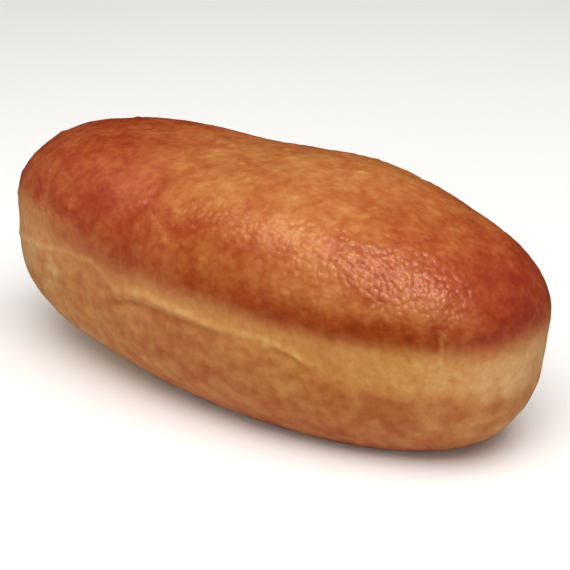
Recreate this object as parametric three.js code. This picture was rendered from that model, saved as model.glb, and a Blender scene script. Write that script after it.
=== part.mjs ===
// A plain bar doughnut: one bar of yeast dough, fried first on one face and then on the other.
// It is a single solid. Its crown and its belly meet all round the sides at the proof line, the
// level at which the bar floated in the oil, and the bar rests on a patch pressed flat under it.
//
// Millimetres, +Z up, X along the bar. The origin lies under the middle of the bar's box, on the
// surface that the bar rests on.

import * as THREE from "three";
import { mergeVertices } from "three/addons/utils/BufferGeometryUtils.js";

// Driving dimensions
const LENGTH = 140;
const WIDTH = 61.8; // at mid length, across the proof line
const CROWN_RISE = 27.5; // from the proof line to the top, away from the waist
const BELLY_DROP = 33.6; // from the proof line to the bottom, before the bar was pressed flat
const PRESSED_SHARE = 0.92; // of the belly's drop that is left above the resting surface
const PRESSED_EDGE = 1.5; // the rounding between the belly and the resting patch, up and down

// How the bar differs from a plain ellipsoid. A squareness of 2 is an ellipse, and more is squarer.
const PLAN_SQUARENESS = 2.4;
const CROWN_SQUARENESS = 2.65; // in section
const BELLY_SQUARENESS = 2.95;
const DOME_BLEND = 6; // how sharply one dome's squareness gives way to the other's
const WIDTH_BARREL = -0.06; // both ends are this share narrower

// The shallow waist across the crown, as shares of half the length
const WAIST = { centre: -0.24, halfWidth: 0.35, depth: 0.15 };
const CROWN_SLOPE = 0.02; // the crown's gain in height towards the right end, as a share

// The proof line's height along the bar, as a cubic in the share of half the length
const PROOF_LINE = { slope: -4.6, bow: -1.8, twist: 2.3 };

const GRID = 20; // squares along each edge of the starting cube

const CRUST_COLOUR = 0xb8642f;
const CRUST_ROUGHNESS = 0.5;

/** A value that runs from a to b as t runs from well below 0 to well above it. */
function handOver(a, b, t) {
  return a + (b - a) * (0.5 + 0.5 * Math.tanh(t));
}

/** The proof line's height at a share x of half the length, measured from mid length. */
function proofLine(x) {
  return x * (PROOF_LINE.slope + x * (PROOF_LINE.bow + x * PROOF_LINE.twist));
}

/** How tall the crown is at a share x of half the length, as a share of its full rise. */
function crownShare(x) {
  const fromWaist = (x - WAIST.centre) / WAIST.halfWidth;
  return 1 + CROWN_SLOPE * x - WAIST.depth * Math.exp(-(fromWaist ** 2));
}

/** How wide the bar is at a share x of half the length, as a share of its width at mid length. */
function widthShare(x) {
  return 1 + WIDTH_BARREL * x ** 2;
}

/** Rounds the height z off onto the flat resting patch at the given floor. */
function pressFlat(z, floor) {
  const into = z - floor + PRESSED_EDGE;
  if (into <= 0) return floor;
  if (into < 2 * PRESSED_EDGE) return floor + into ** 2 / (4 * PRESSED_EDGE);
  return z;
}

/** The point of the bar's skin that lies in a direction from its heart. */
function skinPoint(direction) {
  const { x: dx, y: dy, z: dz } = direction;
  const plan = PLAN_SQUARENESS;
  const section = handOver(BELLY_SQUARENESS, CROWN_SQUARENESS, DOME_BLEND * dz);
  const across = Math.abs(dx) ** plan + Math.abs(dy) ** plan;
  const reach = (across ** (section / plan) + Math.abs(dz) ** section) ** (-1 / section);
  const x = dx * reach;
  const y = dy * reach;
  const z = dz * reach;
  const lift = z > 0 ? CROWN_RISE * crownShare(x) : BELLY_DROP;
  return new THREE.Vector3(
    (LENGTH / 2) * x,
    (WIDTH / 2) * widthShare(x) * y,
    pressFlat(proofLine(x) + lift * z, -BELLY_DROP * PRESSED_SHARE),
  );
}

/** The bar's skin: a cube's even grid of squares, blown out to the shape of the dough. */
function doughnutGeometry() {
  const cube = new THREE.BoxGeometry(2, 2, 2, GRID, GRID, GRID);
  cube.deleteAttribute("normal");
  cube.deleteAttribute("uv");
  const skin = mergeVertices(cube);
  const points = skin.getAttribute("position");
  for (let i = 0; i < points.count; i++) {
    const corner = new THREE.Vector3().fromBufferAttribute(points, i);
    // The tangent spreads the squares evenly over the ball that the cube becomes.
    const even = ["x", "y", "z"].map((axis) => Math.tan((corner[axis] * Math.PI) / 4));
    const point = skinPoint(new THREE.Vector3(...even).normalize());
    points.setXYZ(i, point.x, point.y, point.z);
  }
  skin.computeBoundingBox();
  const { min, max } = skin.boundingBox;
  skin.translate(-(min.x + max.x) / 2, -(min.y + max.y) / 2, -min.z);
  skin.computeVertexNormals();
  return skin;
}

const crust = new THREE.MeshStandardMaterial({
  color: CRUST_COLOUR,
  roughness: CRUST_ROUGHNESS,
  metalness: 0,
});

const doughnut = new THREE.Mesh(doughnutGeometry(), crust);
doughnut.name = "doughnut";

const part = new THREE.Group();
part.add(doughnut);

export default part;
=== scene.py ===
# %% [markdown]
# # A plain bar doughnut
#
# A bar of yeast dough rises, then floats in hot oil, first on its belly and then on its crown.
# The side that is under the oil browns. The level at which the bar floats is covered for the
# shortest time, so it stays as a pale band all round the sides, which bakers call the proof line.
#
# The real thing is one piece, so it is one mesh here. The frame holds the solid that is weighed and
# dropped in the simulation. It stays as it is, and gives this script its size.

# %% Load the frame
import math

import bmesh
import bpy
import numpy as np
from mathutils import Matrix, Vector, noise


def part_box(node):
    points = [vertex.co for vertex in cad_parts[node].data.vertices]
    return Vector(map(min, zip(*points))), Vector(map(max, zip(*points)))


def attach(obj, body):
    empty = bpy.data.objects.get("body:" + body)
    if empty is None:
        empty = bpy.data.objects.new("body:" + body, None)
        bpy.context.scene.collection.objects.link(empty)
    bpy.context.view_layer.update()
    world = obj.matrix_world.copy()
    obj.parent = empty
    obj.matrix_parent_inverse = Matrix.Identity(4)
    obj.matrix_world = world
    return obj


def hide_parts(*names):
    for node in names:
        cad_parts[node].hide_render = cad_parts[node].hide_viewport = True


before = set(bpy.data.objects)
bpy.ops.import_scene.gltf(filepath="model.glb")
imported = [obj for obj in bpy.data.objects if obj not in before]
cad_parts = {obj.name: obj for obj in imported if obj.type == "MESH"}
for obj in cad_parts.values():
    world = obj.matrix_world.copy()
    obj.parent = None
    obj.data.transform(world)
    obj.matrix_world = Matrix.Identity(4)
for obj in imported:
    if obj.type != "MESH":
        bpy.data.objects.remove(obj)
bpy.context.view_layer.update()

MM = 0.001  # one millimetre in Blender's metres

low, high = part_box("doughnut")
LENGTH = (high.x - low.x) / MM
WIDTH = (high.y - low.y) / MM
HEIGHT = (high.z - low.z) / MM
print(f"the bar measures {LENGTH:.1f} x {WIDTH:.1f} x {HEIGHT:.1f} mm")

# %% [markdown]
# ## The camera
#
# Food is looked at from a little above the table and well back, with a long lens, so that the near
# end doesn't swell. The camera turns around the heart of the bar: the middle of the proof line. It
# then looks a few millimetres to the right of the heart and below it, to centre the bar.

# %% Camera
PROOF_HEIGHT = 0.5468 * HEIGHT  # the proof line's height at mid length
CAMERA_TURN = math.radians(33.5)
CAMERA_RISE = math.radians(25.0)
CAMERA_DISTANCE = 400 * MM
CAMERA_LENS = 107.1  # mm, on a sensor 36 mm wide
AIM_RIGHT = 4.2 * MM
AIM_DOWN = 6.4 * MM

heart = Vector((0, 0, PROOF_HEIGHT * MM))
view_right = Vector((math.cos(CAMERA_TURN), math.sin(CAMERA_TURN), 0))
view_back = Vector((
    math.sin(CAMERA_TURN) * math.cos(CAMERA_RISE),
    -math.cos(CAMERA_TURN) * math.cos(CAMERA_RISE),
    math.sin(CAMERA_RISE),
))
view_up = view_back.cross(view_right)
eye = heart + CAMERA_DISTANCE * view_back
aim = heart + AIM_RIGHT * view_right - AIM_DOWN * view_up

camera_data = bpy.data.cameras.new("camera")
camera_data.lens = CAMERA_LENS
camera_data.sensor_width = 36
camera_data.clip_start = 0.01
camera_data.dof.use_dof = False
camera = bpy.data.objects.new("camera", camera_data)
camera.location = eye
camera.rotation_euler = (aim - eye).to_track_quat("-Z", "Y").to_euler()
bpy.context.scene.collection.objects.link(camera)
bpy.context.scene.camera = camera
print(f"the camera stands {CAMERA_DISTANCE / MM:.0f} mm from the heart of the bar")

# %% [markdown]
# ## Colours and shader nodes
#
# Colours are written as the hex values that a colour picker shows. Those are sRGB, and shaders
# add and multiply light, so one function turns them into linear values. A second one adds a
# shader node with its settings and what is plugged into it: every material below is made with it.

# %% Colour and node helpers
def colour(hex_value):
    """A linear RGBA colour from an sRGB hex value such as "#c08040"."""
    channels = [int(hex_value[i:i + 2], 16) / 255 for i in (1, 3, 5)]
    linear = [c / 12.92 if c <= 0.04045 else ((c + 0.055) / 1.055) ** 2.4 for c in channels]
    return (*linear, 1.0)


def add_node(tree, kind, sockets=None, **settings):
    """Adds a node. Each socket gets a value or another node's output, and settings are its own."""
    made = tree.nodes.new(kind)
    for name, value in settings.items():
        setattr(made, name, value)
    for name, value in (sockets or {}).items():
        if isinstance(value, bpy.types.NodeSocket):
            tree.links.new(value, made.inputs[name])
        else:
            made.inputs[name].default_value = value
    return made


def per_metre(size):
    """The scale of a pattern whose marks are size millimetres across, on coordinates in metres."""
    return 1 / (size * MM)


# %% [markdown]
# ## Floor and light
#
# Bread looks its best in a white tent: a large soft lamp above, a weaker one low in front, and white
# walls that send light back from everywhere. Two area lamps and a pale world give that. The Standard
# view keeps the warm browns as saturated as they are on the crust.
#
# Shine is lit apart from shade. A whole white tent mirrored in the crust is a pale veil that washes
# its browns out, so the floor, the world and the two soft lamps are hidden from gloss. Four small
# lamps are seen in gloss only. Each pebble of the crust mirrors a small lamp as a dot, where a
# large lamp would melt the dots into one smooth patch.

# %% Floor
FLOOR_SIZE = 3.0  # m


def painted_board():
    """Matt white paint on a board: pale, even, and with no shine that would mirror the bar."""
    material = bpy.data.materials.new("matt_white_paint")
    material.use_nodes = True
    tree = material.node_tree
    tree.nodes.clear()
    paint = add_node(tree, "ShaderNodeBsdfPrincipled", {
        "Base Color": colour("#f3f1ee"),
        "Roughness": 0.9,
        "Specular IOR Level": 0.1,
    })
    add_node(tree, "ShaderNodeOutputMaterial", {"Surface": paint.outputs["BSDF"]})
    return material


floor_shape = bmesh.new()
bmesh.ops.create_grid(floor_shape, x_segments=1, y_segments=1, size=FLOOR_SIZE / 2)
floor_mesh = bpy.data.meshes.new("floor")
floor_shape.to_mesh(floor_mesh)
floor_shape.free()
floor_mesh.materials.append(painted_board())
floor = bpy.data.objects.new("floor", floor_mesh)
floor.visible_glossy = False
bpy.context.scene.collection.objects.link(floor)

# %% Lamps and world
SOFT_LAMPS = [  # name, place, width and depth in metres, and watts
    ("overhead_softbox", (0.10, -0.12, 0.60), 0.80, 0.56, 5.2),
    ("front_fill", (0.05, -0.60, 0.30), 0.30, 0.30, 0.65),
]
SHINE_LAMPS = [
    ("left_shine", (-0.16, -0.24, 0.54), 0.14, 0.18, 0.6),
    ("middle_shine", (0.04, -0.24, 0.56), 0.14, 0.18, 0.75),
    ("right_shine", (0.22, -0.27, 0.52), 0.14, 0.16, 1.8),
    ("front_shine", (0.33, -0.48, 0.40), 0.16, 0.12, 1.2),
]
TENT_STRENGTH = 0.30


def add_lamp(name, place, width, depth, watts, only_shine):
    """An area lamp turned towards the heart of the bar. It lights either its shade or its shine."""
    data = bpy.data.lights.new(name, "AREA")
    data.shape = "RECTANGLE"
    data.size = width
    data.size_y = depth
    data.energy = watts
    lamp = bpy.data.objects.new(name, data)
    lamp.location = place
    lamp.rotation_euler = (heart - Vector(place)).to_track_quat("-Z", "Y").to_euler()
    lamp.visible_diffuse = not only_shine
    lamp.visible_glossy = only_shine
    bpy.context.scene.collection.objects.link(lamp)


for settings in SOFT_LAMPS:
    add_lamp(*settings, only_shine=False)
for settings in SHINE_LAMPS:
    add_lamp(*settings, only_shine=True)

world = bpy.data.worlds.new("white_tent")
world.use_nodes = True
tent = world.node_tree.nodes["Background"]
tent.inputs["Color"].default_value = colour("#ffffff")
tent.inputs["Strength"].default_value = TENT_STRENGTH
world.cycles_visibility.glossy = False
bpy.context.scene.world = world
bpy.context.scene.view_settings.view_transform = "Standard"
print(f"a floor, {len(SOFT_LAMPS)} soft lamps, {len(SHINE_LAMPS)} shine lamps and a pale world")

# %% [markdown]
# ## The dough, as a grid of squares
#
# A sphere from the menu has poles, where its squares shrink to slivers, and sculpted detail pinches
# there. A cube whose faces are cut into a grid has none. Blown out to a ball, its squares stay
# nearly even everywhere. The cuts are made one direction at a time, because the bar is longer than
# it is wide and needs more of them along it. The squares end up about half a millimetre wide.

# %% A cube cut into a fine grid
SQUARES_ALONG = 180
SQUARES_ACROSS = 96

dough = bmesh.new()
bmesh.ops.create_cube(dough, size=2)
for axis, squares in enumerate((SQUARES_ALONG, SQUARES_ACROSS, SQUARES_ACROSS)):
    lengthwise = [
        edge for edge in dough.edges
        if abs(edge.verts[0].co[axis] - edge.verts[1].co[axis]) > 0.01
    ]
    bmesh.ops.subdivide_edges(dough, edges=lengthwise, cuts=squares - 1, use_grid_fill=True)
print(f"the dough's grid has {len(dough.faces)} squares")

# %% [markdown]
# ## From the cube to the bar
#
# The bar is the frame's solid, drawn finer. Two domes meet at the proof line. Both are ellipsoids
# made a little squarer: as the two exponents in the formula grow from 2, an ellipse turns towards
# a rectangle. The crown has a shallow waist left of the middle, where the dough was gripped, and
# the proof line droops to the right. The belly is pressed flat where the bar rests.

# %% The smooth shape of the bar
CROWN_RISE = 0.4865 * HEIGHT  # from the proof line to the top, away from the waist
BELLY_DROP = 0.5944 * HEIGHT  # from the proof line to the bottom, before the bar was pressed flat
PRESSED_EDGE = 1.5  # mm, the rounding between the belly and the resting patch
PLAN_SQUARENESS = 2.4
CROWN_SQUARENESS = 2.65
BELLY_SQUARENESS = 2.95
DOME_BLEND = 6
WIDTH_BARREL = -0.06  # both ends are this share narrower
WAIST_CENTRE = -0.24  # along the bar, as a share of half the length
WAIST_HALF_WIDTH = 0.35
WAIST_DEPTH = 0.15
CROWN_SLOPE = 0.02
PROOF_SLOPE, PROOF_BOW, PROOF_TWIST = -4.6, -1.8, 2.3  # mm at the right end


def proof_line(share):
    """The proof line's height in mm above its middle, at a share of half the length."""
    return share * (PROOF_SLOPE + share * (PROOF_BOW + share * PROOF_TWIST))


def press_flat(height):
    """Rounds heights above the resting surface off onto that surface."""
    into = np.clip(height + PRESSED_EDGE, 0, None)
    return np.where(into < 2 * PRESSED_EDGE, into ** 2 / (4 * PRESSED_EDGE), height)


def skin_points(directions):
    """The points in mm where rays from the heart of the bar leave its smooth skin."""
    dx, dy, dz = directions.T
    crown_part = 0.5 + 0.5 * np.tanh(DOME_BLEND * dz)
    squareness = BELLY_SQUARENESS + (CROWN_SQUARENESS - BELLY_SQUARENESS) * crown_part
    across = abs(dx) ** PLAN_SQUARENESS + abs(dy) ** PLAN_SQUARENESS
    flat_part = across ** (squareness / PLAN_SQUARENESS)
    reach = (flat_part + abs(dz) ** squareness) ** (-1 / squareness)
    x, y, z = dx * reach, dy * reach, dz * reach
    waist = WAIST_DEPTH * np.exp(-((x - WAIST_CENTRE) / WAIST_HALF_WIDTH) ** 2)
    crown = CROWN_RISE * (1 + CROWN_SLOPE * x - waist)
    lift = np.where(z > 0, crown, BELLY_DROP)
    return np.column_stack((
        LENGTH / 2 * x,
        WIDTH / 2 * (1 + WIDTH_BARREL * x ** 2) * y,
        press_flat(PROOF_HEIGHT + proof_line(x) + lift * z),
    ))


# %% Blow the cube out to the bar
corners = np.array([vertex.co for vertex in dough.verts])
even = np.tan(corners * math.pi / 4)  # spreads the squares evenly over the ball
directions = even / np.linalg.norm(even, axis=1, keepdims=True)
skin = skin_points(directions)


def move_vertices(points):
    """Moves the dough's vertices to points in mm, and works out the normals again."""
    for vertex, point in zip(dough.verts, points * MM):
        vertex.co = point
    dough.normal_update()


move_vertices(skin)
bmesh.ops.recalc_face_normals(dough, faces=dough.faces)
print(f"the smooth bar is {np.ptp(skin, axis=0).round(1)} mm")

# %% [markdown]
# ## Where things are on the bar
#
# Everything that follows is said in a baker's terms: how far along the bar, how far round it as
# seen from above, and how high above or below the proof line. Angles run anticlockwise from the
# right end, so -90 is the middle of the front.

# %% Coordinates on the skin
along, side, up = skin.T
above_proof = up - PROOF_HEIGHT - proof_line(along / (LENGTH / 2))
turn = np.degrees(np.arctan2(side / (WIDTH / 2), along / (LENGTH / 2)))
BARE_HEIGHT = 3.0  # mm, where the relief has its full strength
off_floor = np.clip(up / BARE_HEIGHT, 0, 1)  # no relief on the patch that rests on the floor
SEED_STEP = 17.3  # how far apart in the noise two seeds lie


def smooth_noise(size, seed, tall=1):
    """Noise from -1 to 1 at each vertex, with lumps about size mm across, drawn out tall times."""
    places = skin / (size, size, size * tall) + SEED_STEP * seed
    return np.array([noise.noise(place) for place in places])


def domes(size, seed, radius):
    """Round domes about size mm apart: 1 on top, 0 past radius mm and in the gaps between them."""
    places = skin / size + SEED_STEP * seed
    nearest = np.array([noise.voronoi(place)[0][0] for place in places]) * size
    return np.clip(1 - (nearest / radius) ** 2, 0, 1)


def ease(start, end, values):
    """0 before start, 1 after end, and a smooth step between them."""
    t = np.clip((values - start) / (end - start), 0, 1)
    return t * t * (3 - 2 * t)


def hump(values, centre, half_width):
    """A bell from 0 to 1 to 0, about two half widths wide."""
    return np.exp(-((values - centre) / half_width) ** 2)


def around(stations):
    """A height in mm at each vertex from (angle, mm) pairs that run once round the bar."""
    angles, heights = np.array(stations).T
    fine = np.arange(-180, 180, 0.5)
    line = np.interp(fine, angles, heights, period=360)
    weights = hump(np.arange(-12, 13), 0, 6)
    soft = np.convolve(np.tile(line, 3), weights / weights.sum(), "same")
    return np.interp(turn, fine, soft[len(line):2 * len(line)], period=360)


def zones(base, changes):
    """A base value with soft changes round the bar: (angle and half width in degrees, change)."""
    values = np.full(len(skin), float(base))
    for angle, half_width, change in changes:
        gap = (turn - angle + 180) % 360 - 180
        values += change * hump(gap, 0, half_width)
    return values


print(f"{np.mean(above_proof > 0):.0%} of the vertices are above the proof line")

# %% [markdown]
# ## The pale band
#
# The band's two edges rise and fall, because the dough rocked in the oil. Its upper edge is where
# the crown's crust ends, quite sharply. Its lower edge fades out. Each edge is a few heights round
# the bar with a soft line through them, and a little noise on top so that no edge looks ruled.

# %% The band's edges
BAND_TOP = [  # (angle round the bar, mm above the proof line)
    (-180, 0), (-145, 3), (-110, 1), (-75, 2), (-35, 2), (0, 3), (60, 3), (120, 2),
]
BAND_BOTTOM = [
    (-180, -3), (-140, -3), (-120, -1), (-110, -6), (-75, -5), (-60, -8), (-20, -6), (5, -9),
    (60, -7), (120, -6),
]

CRUST_START = -1.7  # mm, where the crown's crust begins, from the band's upper edge
CRUST_FADE = 4.6  # mm, where it is full
CRUST_FADE_LEFT, CRUST_FADE_RIGHT = 2.8, 2.2  # mm, how much further up it is full at the ends
BELLY_FADE, BELLY_FADE_AT_LIP = 2.4, 0.5  # mm, how far the band's lower edge fades out

in_front = ease(0, -10, side)
at_the_back = ease(0, 10, side)
streaks = smooth_noise(1.8, seed=2, tall=4)
RAGGED, STREAKED = 0.5, 0.6  # mm, how far noise and streaks move the upper edge
LOWER_EDGE = 1.5  # how much more ragged the lower edge is
ragged = RAGGED * smooth_noise(4, seed=1) + STREAKED * streaks
from_top = above_proof - around(BAND_TOP) - ragged
from_bottom = above_proof - around(BAND_BOTTOM) - LOWER_EDGE * ragged
left_end = ease(-22, -34, along)
right_end = ease(58, 67, along)
crust_full = CRUST_FADE + CRUST_FADE_LEFT * left_end + CRUST_FADE_RIGHT * right_end
over_band = ease(CRUST_START - right_end, crust_full, from_top)  # 1 on the crown's crust
lip_strength = in_front * ease(-27.5, -23, along) * ease(13, 3, along)
fading = BELLY_FADE + (BELLY_FADE_AT_LIP - BELLY_FADE) * lip_strength
under_band = ease(fading, -fading, from_bottom)  # 1 on the belly's crust
band = (1 - over_band) * (1 - under_band)
print(f"the pale band covers {np.mean(band):.0%} of the vertices")

# %% [markdown]
# ## Sculpting the crust
#
# Risen dough is never smooth. Gas makes broad swellings and hollows, the crust pulls small dimples,
# its surface is pebbled like orange peel, and here and there a blister stands up. A Displace
# modifier could do one of these. Here each feature is a strength at every vertex, kept to the part
# of the bar where it belongs. The table says how far a feature makes the vertices stand out along
# their normals, and how much darker it is drawn. Raised marks are mostly drawn paler and grooves
# darker. The dark in the gap under the lip, under the wrinkles, in the creases and beside the drip
# is painted shade. The paler tops of the glinting pebbles are painted glints, and the paler blisters
# partly so. The pebbles are domes around scattered points, which is round where plain noise would be
# streaky.

# %% What each feature does
FEATURES = {  # name: (mm it stands out, change of doneness, painted shade and glints included); below 0 is a hollow, or paler
    "swellings": (0.35, 0),
    "small_swellings": (0.25, 0),
    "dimples": (0.15, 0),
    "grain": (0.05, 0),
    "pebbles": (0.05, 0),
    # paler tops of the glinting pebbles and darker crust around them: painted glints
    "glinting_pebbles": (0.24, -0.14),
    "around_glinting_pebbles": (0, 0.056),
    # paler blisters: partly painted glints
    "blisters": (0.28, -0.12),
    "band": (-0.30, 0),  # the pale dough lies a little below the crust on both sides of it
    "streaks": (0.08, 0.05),
    "streaks_below": (0, 0.025),
    "fold": (0.50, 0),
    # darker in the gap under the lip: painted shade
    "gap": (-0.48, 0.15),
    "crest": (0.26, -0.13),
    "ridge": (0.45, -0.15),
    # darker under the wrinkles: painted shade
    "below_ridge": (-0.26, 0.09),
    # darker in the creases: painted shade
    "crease": (-0.40, 0.10),
    "drip": (0.30, -0.05),
    "drip_on_crust": (0, -0.26),
    "beside_drip": (-0.20, 0),
    # darker beside the drip, on the crust: a painted shadow
    "painted_shadow_beside_drip": (0, 0.10),
    "blotches": (0, 0.10),
    "specks": (0, 0.13),
    "dark_spots": (0, 0.06),
    "pale_spots": (0, -0.05),
    "under_belly": (0, -0.11),
}
BELLY_CRUST = 0.55  # how much of a crust the belly has, next to the crown
BARE_GRAIN = 0.08  # the share of the grain that shows on the uncrusted band

crusted = np.clip(over_band + BELLY_CRUST * under_band, 0, 1)
grained = BARE_GRAIN + (1 - BARE_GRAIN) * crusted
pebble_domes = domes(1.7, seed=6, radius=1.15)
strengths = {
    "swellings": smooth_noise(24, seed=3),
    "small_swellings": smooth_noise(11, seed=4),
    "dimples": smooth_noise(5, seed=5),
    "grain": smooth_noise(1.8, seed=11) * grained,
    "pebbles": pebble_domes * grained,
    "blisters": domes(8, seed=7, radius=1.3) * over_band,
    "band": band,
    "streaks": streaks * band,
    "streaks_below": streaks * under_band,
}
print(f"{len(FEATURES)} features, and {len(strengths)} of them are placed")

# %% Listed swellings and hollows
HAND_SHAPED = [  # (x, y, z), radius and lift, in mm
    ((-30, -24, 12), 16, -0.75), ((-46, -20, 9), 11, -0.3), ((-47, 11, 53), 12, -0.6),
    ((-58, 2, 50), 10, 0.6), ((-27, 18, 52), 9, 0.5), ((22, 18, 53), 12, 0.3),
    ((44, 18, 49), 9, -0.45), ((60, -8, 8), 13, 0.65),
    ((5, -22, 2), 10, 0.25), ((67, 10, 34), 10, 1.0), ((-25, 28, 40), 15, -0.5),
    ((30, 27, 15), 16, 0.6),
]


def far_from(point):
    """The distance in mm from each vertex to a point."""
    return np.linalg.norm(skin - point, axis=1)


relief = np.zeros(len(skin))
for point, radius, lift in HAND_SHAPED:
    relief += lift * hump(far_from(point), 0, radius)
print(f"by hand, the dough is moved by {relief.min():.2f} to {relief.max():.2f} mm")

# %% Where the crust is pebbled
PEBBLED_EVERYWHERE = 0.22
PEBBLED_PATCHES = [  # (x, y, z), radius in mm and strength
    ((45, -18, 45), 17, 0.66), ((20, -22, 50), 13, 0.30), ((-4, -24, 49), 13, 0.20),
    ((-45, -18, 46), 16, 0.22), ((20, 18, 50), 22, 0.15), ((-35, 15, 50), 16, 0.10),
    ((64, 6, 37), 14, 0.10),
]
pebbled = np.full(len(skin), PEBBLED_EVERYWHERE)
for point, radius, strength in PEBBLED_PATCHES:
    pebbled += strength * hump(far_from(point), 0, radius)
EVEN_PEBBLES, UNEVEN_PEBBLES = 0.8, 0.35  # the second keeps every patch from looking even
pebbled *= crusted * (EVEN_PEBBLES + UNEVEN_PEBBLES * smooth_noise(6, seed=10))
strengths["glinting_pebbles"] = pebble_domes * pebbled
strengths["around_glinting_pebbles"] = pebbled
print(f"{np.mean(pebbled > 0.5):.0%} of the vertices are well pebbled")

# %% Lines drawn on the skin
side_view = np.column_stack((along, above_proof))  # the skin as seen straight from the front


def far_from_line(path, places):
    """The distance in mm from each vertex's place to the line through the points of a path."""
    nearest = np.full(len(places), np.inf)
    for start, end in zip(path[:-1], path[1:]):
        run = np.subtract(end, start)
        share = np.clip((places - start) @ run / (run @ run), 0, 1)
        gaps = np.linalg.norm(places - start - share[:, None] * run, axis=1)
        nearest = np.minimum(nearest, gaps)
    return nearest


# %% The lip along the front
LIP_CREASE = [(-26, -7.5), (-17, -4.5), (13, -4)]  # (mm along the bar, mm above the proof line)
LIP_CREST = [
    (-64, -4.5), (-40, 0.5), (-30, 1), (-23, -3), (-14, -1.5), (4, -2.5), (20, -1.5),
]
above_lip = above_proof - np.interp(along, *np.array(LIP_CREASE).T)
strengths["fold"] = hump(above_lip, 1.5, 1.5) * lip_strength
strengths["gap"] = hump(above_lip, -0.5, 0.95) * lip_strength
strengths["crest"] = hump(far_from_line(LIP_CREST, side_view), 0, 0.9) * in_front
print(f"the lip runs from {LIP_CREST[0][0]} to {LIP_CREST[-1][0]} mm along the bar")

# %% The wrinkles
FRONT_WRINKLE = [(18, -3.5), (22, -2), (26, -3), (29, -4.5), (35, -4.5)]
BACK_WRINKLE = [(-34, -0.6), (-28, -2.0), (-20, -2.7), (-12, -2.4), (-5, -3.4), (1, -5.2)]
front_ends = in_front * ease(17.5, 20, along) * ease(34, 27, along)
back_ends = at_the_back * ease(-34, -27, along) * ease(1, -6, along)
ridge, below_ridge = 0, 0
for path, fading_ends in ((FRONT_WRINKLE, front_ends), (BACK_WRINKLE, back_ends)):
    ridge += hump(far_from_line(path, side_view), 0, 0.8) * fading_ends
    below_ridge += hump(far_from_line(path, side_view + (0.3, 1.5)), 0, 0.9) * fading_ends
strengths["ridge"] = ridge
strengths["below_ridge"] = below_ridge
print(f"{np.mean(ridge > 0.5):.1%} of the vertices are on a wrinkle")

# %% Creases and a drip
CREASE_CENTRE = (-24, -20)  # mm along and across: the crown's crease is an arc seen from above
CREASE_BOW = 8  # mm, the radius of the arc
CREASE_HALF_WIDTH = 1.3  # mm
BACK_CREASE = [(24, 27, 42), (29, 24, 47), (31, 20, 51), (29, 15, 54)]
DRIP_TOP = (57, 8)  # (mm along the bar, mm above the proof line)
DRIP_END = (57, 1)
DRIP_HALF_WIDTH = 0.4  # mm
BESIDE_DRIP = (1.0, 0)  # mm, from the drip to the hollow beside it

from_centre = np.hypot(along - CREASE_CENTRE[0], side - CREASE_CENTRE[1])
on_the_arc = ease(-27, -22, along) * ease(10, 15, above_proof)
crown_crease = hump(from_centre, CREASE_BOW, CREASE_HALF_WIDTH) * on_the_arc
back_crease = hump(far_from_line(BACK_CREASE, skin), 0, CREASE_HALF_WIDTH)
drip_path = (DRIP_TOP, DRIP_END)
drip = hump(far_from_line(drip_path, side_view), 0, DRIP_HALF_WIDTH) * in_front
beside = far_from_line(drip_path, side_view + BESIDE_DRIP)
beside_drip = hump(beside, 0, DRIP_HALF_WIDTH) * in_front
strengths["crease"] = crown_crease + back_crease
strengths["drip"] = drip
strengths["drip_on_crust"] = drip * over_band
strengths["beside_drip"] = beside_drip
strengths["painted_shadow_beside_drip"] = beside_drip * over_band
print(f"two creases, and a drip {DRIP_TOP[1] - DRIP_END[1]:.0f} mm long")

# %% Move the vertices
for name, strength in strengths.items():
    relief += FEATURES[name][0] * strength
normals = np.array([vertex.normal for vertex in dough.verts])
sculpted = skin + normals * (relief * off_floor)[:, None]
sculpted[:, 2] = np.maximum(sculpted[:, 2], 0)
move_vertices(sculpted)
print(f"the sculpted bar is {np.ptp(sculpted, axis=0).round(1)} mm")

# %% [markdown]
# ## How far each spot is fried, with painted shade and glints
#
# One number runs from 0, dough that the oil hardly touched, to 1, nearly burnt. It is stored on the
# vertices as an attribute, so it stays with the dough however the bar is seen or exported, and the
# material turns it into colour. Each part of the bar has one base value and a few soft zones that
# are darker or paler. The top of the crown is paler in the middle than at its ends, the crust is
# darkest round the right end, and its rim and the belly are pale towards the far left. The same
# number also carries painted shade in the grooves and painted glints on the pebbles and blisters.

# %% Doneness round the bar
TOP_MIDDLE, TOP_DARKER = 0.50, 0.30  # doneness, and how much more it is at both ends
SHOULDER, SHOULDER_ZONES = 0.72, [(-118, 20, 0.08), (-52, 22, -0.24), (-10, 28, 0.20)]
RIM, RIM_ZONES = 0.76, [(-150, 25, -0.40), (-62, 16, 0.15), (-12, 18, 0.30)]
BAND, BAND_ZONES = 0.25, [(-116, 14, 0.20), (-72, 30, 0.12), (-12, 22, -0.12)]
BELLY, BELLY_ZONES = 0.52, [(-150, 35, -0.32), (0, 28, -0.28)]
crown_top = TOP_MIDDLE + TOP_DARKER * (ease(-5, -45, along) + ease(20, 80, along))
to_shoulder = ease(6.5, 11.5, above_proof)
to_top = ease(16, 22, above_proof)
rim_done = zones(RIM, RIM_ZONES)
shoulder_done = zones(SHOULDER, SHOULDER_ZONES)
crown_done = rim_done * (1 - to_shoulder) + shoulder_done * (to_shoulder - to_top)
crown_done += crown_top * to_top
doneness_and_painted_light = over_band * crown_done + under_band * zones(BELLY, BELLY_ZONES)
doneness_and_painted_light += band * zones(BAND, BAND_ZONES)
print(f"the crust is done to {np.mean(doneness_and_painted_light[over_band > 0.9]):.2f}, "
      f"the band to {np.mean(doneness_and_painted_light[band > 0.9]):.2f}")

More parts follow.
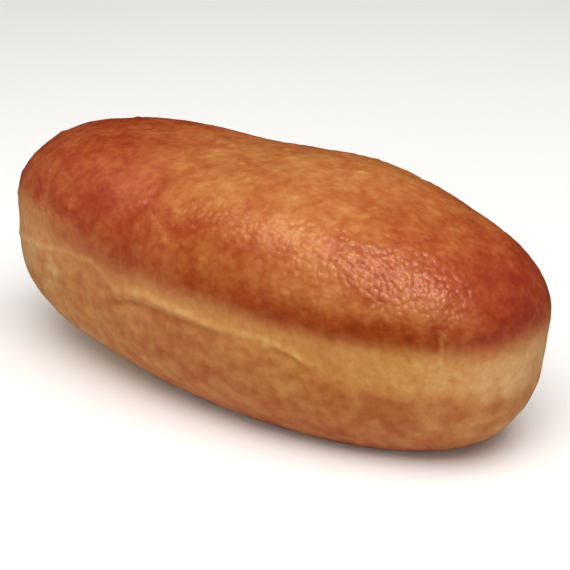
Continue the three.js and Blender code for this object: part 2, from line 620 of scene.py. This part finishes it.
# %% Blotches and spots
DONE_PATCHES = [  # (x, y, z), radius in mm, and how much darker (below 0, paler) it is drawn there
    ((42, -19, 46), 10, 0.15), ((-12, -24, 49), 6, -0.10),
]
LESS_ON_BAND, MORE_ON_BELLY = 0.7, 0.3  # the belly is the most blotched, and the band the least
blotched = 1 - LESS_ON_BAND * band + MORE_ON_BELLY * under_band
strengths["blotches"] = smooth_noise(8, seed=8) * blotched
strengths["specks"] = smooth_noise(3.4, seed=9) * blotched
strengths["dark_spots"] = domes(11, seed=12, radius=2.6) * (1 - band)
strengths["pale_spots"] = domes(13, seed=13, radius=3.4) * (1 - band)
strengths["under_belly"] = ease(-16, -25, above_proof) * ease(40, 20, along)
# The features' colour changes go in here, with the painted shade in grooves and the painted glints.
for name, strength in strengths.items():
    doneness_and_painted_light += FEATURES[name][1] * strength
for point, radius, extra in DONE_PATCHES:
    doneness_and_painted_light += extra * hump(far_from(point), 0, radius)
doneness_and_painted_light = np.clip(doneness_and_painted_light, 0, 1)
print(f"doneness runs from {doneness_and_painted_light.min():.2f} to {doneness_and_painted_light.max():.2f}")

# %% Pink and golden places, with painted sheen and a painted floor reflection
MOST_GOLDEN, MOST_PINK = -1, 1.2
PINK_SHEEN_AND_HUE_PATCHES = [  # (x, y, z), radius in mm, and how pink (above 0) or golden (below 0) it is; the pink on the left of the crown is partly painted sheen
    ((-62, -10, 34), 22, 0.6), ((-45, -22, 42), 14, 0.3), ((-24, -18, 51), 9, 0.6),
    ((66, 2, 34), 16, 0.4), ((60, 10, 12), 14, 0.6), ((-40, 24, 20), 18, 0.5),
    ((30, -28, 25), 17, -0.9), ((50, -22, 28), 10, -0.8), ((4, -30, 38), 12, -0.4),
    ((25, 28, 28), 16, -0.6),
]
# Pink grows towards the bottom of the belly: a painted reflection of the white floor.
pink_sheen_and_hue = ease(-12, -26, above_proof)
for point, radius, strength in PINK_SHEEN_AND_HUE_PATCHES:
    pink_sheen_and_hue += strength * hump(far_from(point), 0, radius)
pink_sheen_and_hue = np.clip(pink_sheen_and_hue, MOST_GOLDEN, MOST_PINK)
print(f"the hue runs from {pink_sheen_and_hue.min():.1f}, golden, to {pink_sheen_and_hue.max():.1f}, rosy")

# %% The dough becomes a piece
dough_mesh = bpy.data.meshes.new("fried_doughnut")
dough.to_mesh(dough_mesh)
dough.free()
painted = {"doneness_and_painted_light": doneness_and_painted_light, "crust": crusted, "pebbled": pebbled, "pink_sheen_and_hue": pink_sheen_and_hue}
for name, values in painted.items():
    attribute = dough_mesh.attributes.new(name, "FLOAT", "POINT")
    attribute.data.foreach_set("value", values.astype(np.float32))
dough_mesh.shade_smooth()
doughnut = bpy.data.objects.new("fried_doughnut", dough_mesh)
bpy.context.scene.collection.objects.link(doughnut)
print(f"the piece has {len(dough_mesh.polygons)} squares and carries {', '.join(painted)}")

# %% [markdown]
# ## The crust as a material
#
# Fried dough is matt where it is pale and satin where it is brown, because the brown crust has
# soaked up oil. A colour ramp turns doneness into the colours that dough goes through in the fryer:
# cream, gold, orange-brown, red-brown and mahogany. A little pink is mixed in where the crust is
# rosy, partly as painted sheen on the left of the crown and as a painted reflection of the floor low
# on the belly, and a little is taken out where it is golden. Fine mottling and small bumps carry the
# pebbles on below the size of the squares, so that the shine breaks up into dots. The dots are also
# drawn a little paler and their gaps darker, a painted glint on top of the real shine.

# %% Fried dough
FRYING_COLOURS = [
    (0.00, "#cea871"),  # cream
    (0.30, "#bd8045"),  # gold
    (0.55, "#aa5f30"),  # orange-brown
    (0.80, "#963f1d"),  # red-brown
    (1.00, "#842b11"),  # mahogany
]
SHEEN_AND_ROSY_PINK = "#e75995"
PINK_SHARE = 0.05  # the share of pink at full strength, for rosy crust, painted sheen and the painted floor reflection


def fried_dough():
    """Yeast dough fried in oil: satin red-brown crust, and a matt cream band at the proof line."""
    material = bpy.data.materials.new("fried_yeast_dough")
    material.use_nodes = True
    tree = material.node_tree
    tree.nodes.clear()
    done = add_node(tree, "ShaderNodeAttribute", attribute_name="doneness_and_painted_light")
    crust = add_node(tree, "ShaderNodeAttribute", attribute_name="crust")
    pebbled = add_node(tree, "ShaderNodeAttribute", attribute_name="pebbled")
    pink_sheen_and_hue = add_node(tree, "ShaderNodeAttribute", attribute_name="pink_sheen_and_hue")
    coordinates = add_node(tree, "ShaderNodeTexCoord")

    cells = add_node(tree, "ShaderNodeTexVoronoi", {
        "Vector": coordinates.outputs["Object"],
        "Scale": per_metre(1.4),
    }, feature="F1")
    dots = add_node(tree, "ShaderNodeMapRange", {
        "Value": cells.outputs["Distance"],
        "From Min": 0.95,
        "From Max": 0.05,
    }, interpolation_type="SMOOTHSTEP")

    mottle = add_node(tree, "ShaderNodeTexNoise", {
        "Vector": coordinates.outputs["Object"],
        "Scale": per_metre(1.8),
        "Detail": 3,
        "Roughness": 0.6,
    })
    shift = add_node(tree, "ShaderNodeMapRange", {
        "Value": mottle.outputs["Fac"],
        "From Min": 0.25,
        "From Max": 0.75,
        "To Min": -0.10,
        "To Max": 0.10,
    })
    # The dots are drawn paler and the gaps a little darker on pebbled crust: painted glints.
    paler_dots = add_node(tree, "ShaderNodeMapRange", {
        "Value": dots.outputs["Result"],
        "To Min": 0.03,
        "To Max": -0.07,
    })
    pebble_shift = add_node(tree, "ShaderNodeMath", {
        0: paler_dots.outputs["Result"],
        1: pebbled.outputs["Fac"],
        2: shift.outputs["Result"],
    }, operation="MULTIPLY_ADD")
    total = add_node(tree, "ShaderNodeMath", {
        0: done.outputs["Fac"],
        1: pebble_shift.outputs["Value"],
    }, operation="ADD")
    ramp = add_node(tree, "ShaderNodeValToRGB", {"Fac": total.outputs["Value"]})
    stops = ramp.color_ramp.elements
    while len(stops) < len(FRYING_COLOURS):
        stops.new(0.5)
    for stop, (position, hex_value) in zip(stops, FRYING_COLOURS):
        stop.position = position
        stop.color = colour(hex_value)

    blush = add_node(tree, "ShaderNodeMath", {
        0: pink_sheen_and_hue.outputs["Fac"],
        1: PINK_SHARE,
    }, operation="MULTIPLY")
    fried = add_node(tree, "ShaderNodeMix", {
        0: blush.outputs["Value"],
        6: ramp.outputs["Color"],
        7: colour(SHEEN_AND_ROSY_PINK),
    }, data_type="RGBA", clamp_factor=False)

    height = add_node(tree, "ShaderNodeMath", {
        0: dots.outputs["Result"],
        1: pebbled.outputs["Fac"],
    }, operation="MULTIPLY")
    bump = add_node(tree, "ShaderNodeBump", {
        "Height": height.outputs["Value"],
        "Strength": 1.0,
        "Distance": 0.28 * MM,
    })
    gloss = add_node(tree, "ShaderNodeMapRange", {
        "Value": crust.outputs["Fac"],
        "To Min": 0.65,
        "To Max": 0.32,
    })
    skin_shader = add_node(tree, "ShaderNodeBsdfPrincipled", {
        "Base Color": fried.outputs[2],
        "Roughness": gloss.outputs["Result"],
        "IOR": 1.45,
        "Specular IOR Level": 0.42,
        "Specular Tint": colour("#ffd9cc"),
        "Normal": bump.outputs["Normal"],
    })
    add_node(tree, "ShaderNodeOutputMaterial", {"Surface": skin_shader.outputs["BSDF"]})
    return material


dough_mesh.materials.append(fried_dough())
print(f"material {dough_mesh.materials[0].name} on {len(dough_mesh.polygons)} faces")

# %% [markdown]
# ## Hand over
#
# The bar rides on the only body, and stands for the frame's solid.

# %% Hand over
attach(doughnut, "root")
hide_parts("doughnut")
